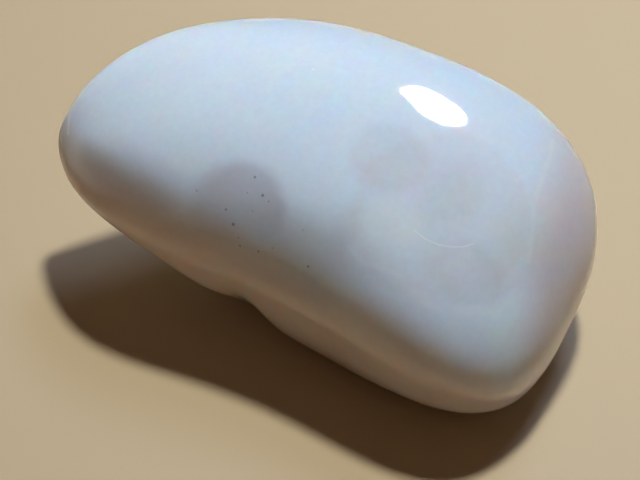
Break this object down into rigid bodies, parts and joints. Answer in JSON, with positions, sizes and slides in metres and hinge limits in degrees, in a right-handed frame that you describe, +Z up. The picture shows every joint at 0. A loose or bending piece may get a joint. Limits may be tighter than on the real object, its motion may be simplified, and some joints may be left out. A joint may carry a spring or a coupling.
{
  "type": "tumbled chalcedony stone",
  "caption": "Smooth tumbled chalcedony, milky blue grey with a wet polish, one end narrow and one broad, resting on its flat worn side.",
  "frame": {"origin": "under the middle of the stone's box, on the surface that it rests on", "axes": "+X along the length towards the broad blunt end, +Z up from the resting patch, -Y the straight flank with the nick"},
  "size_m": [0.036, 0.0226, 0.0178],
  "materials": {
    "chalcedony": "polished to a wet gloss, milky and softly translucent"
  },
  "bodies": {
    "root": {"stone": "chalcedony"}
  },
  "joints": []
}
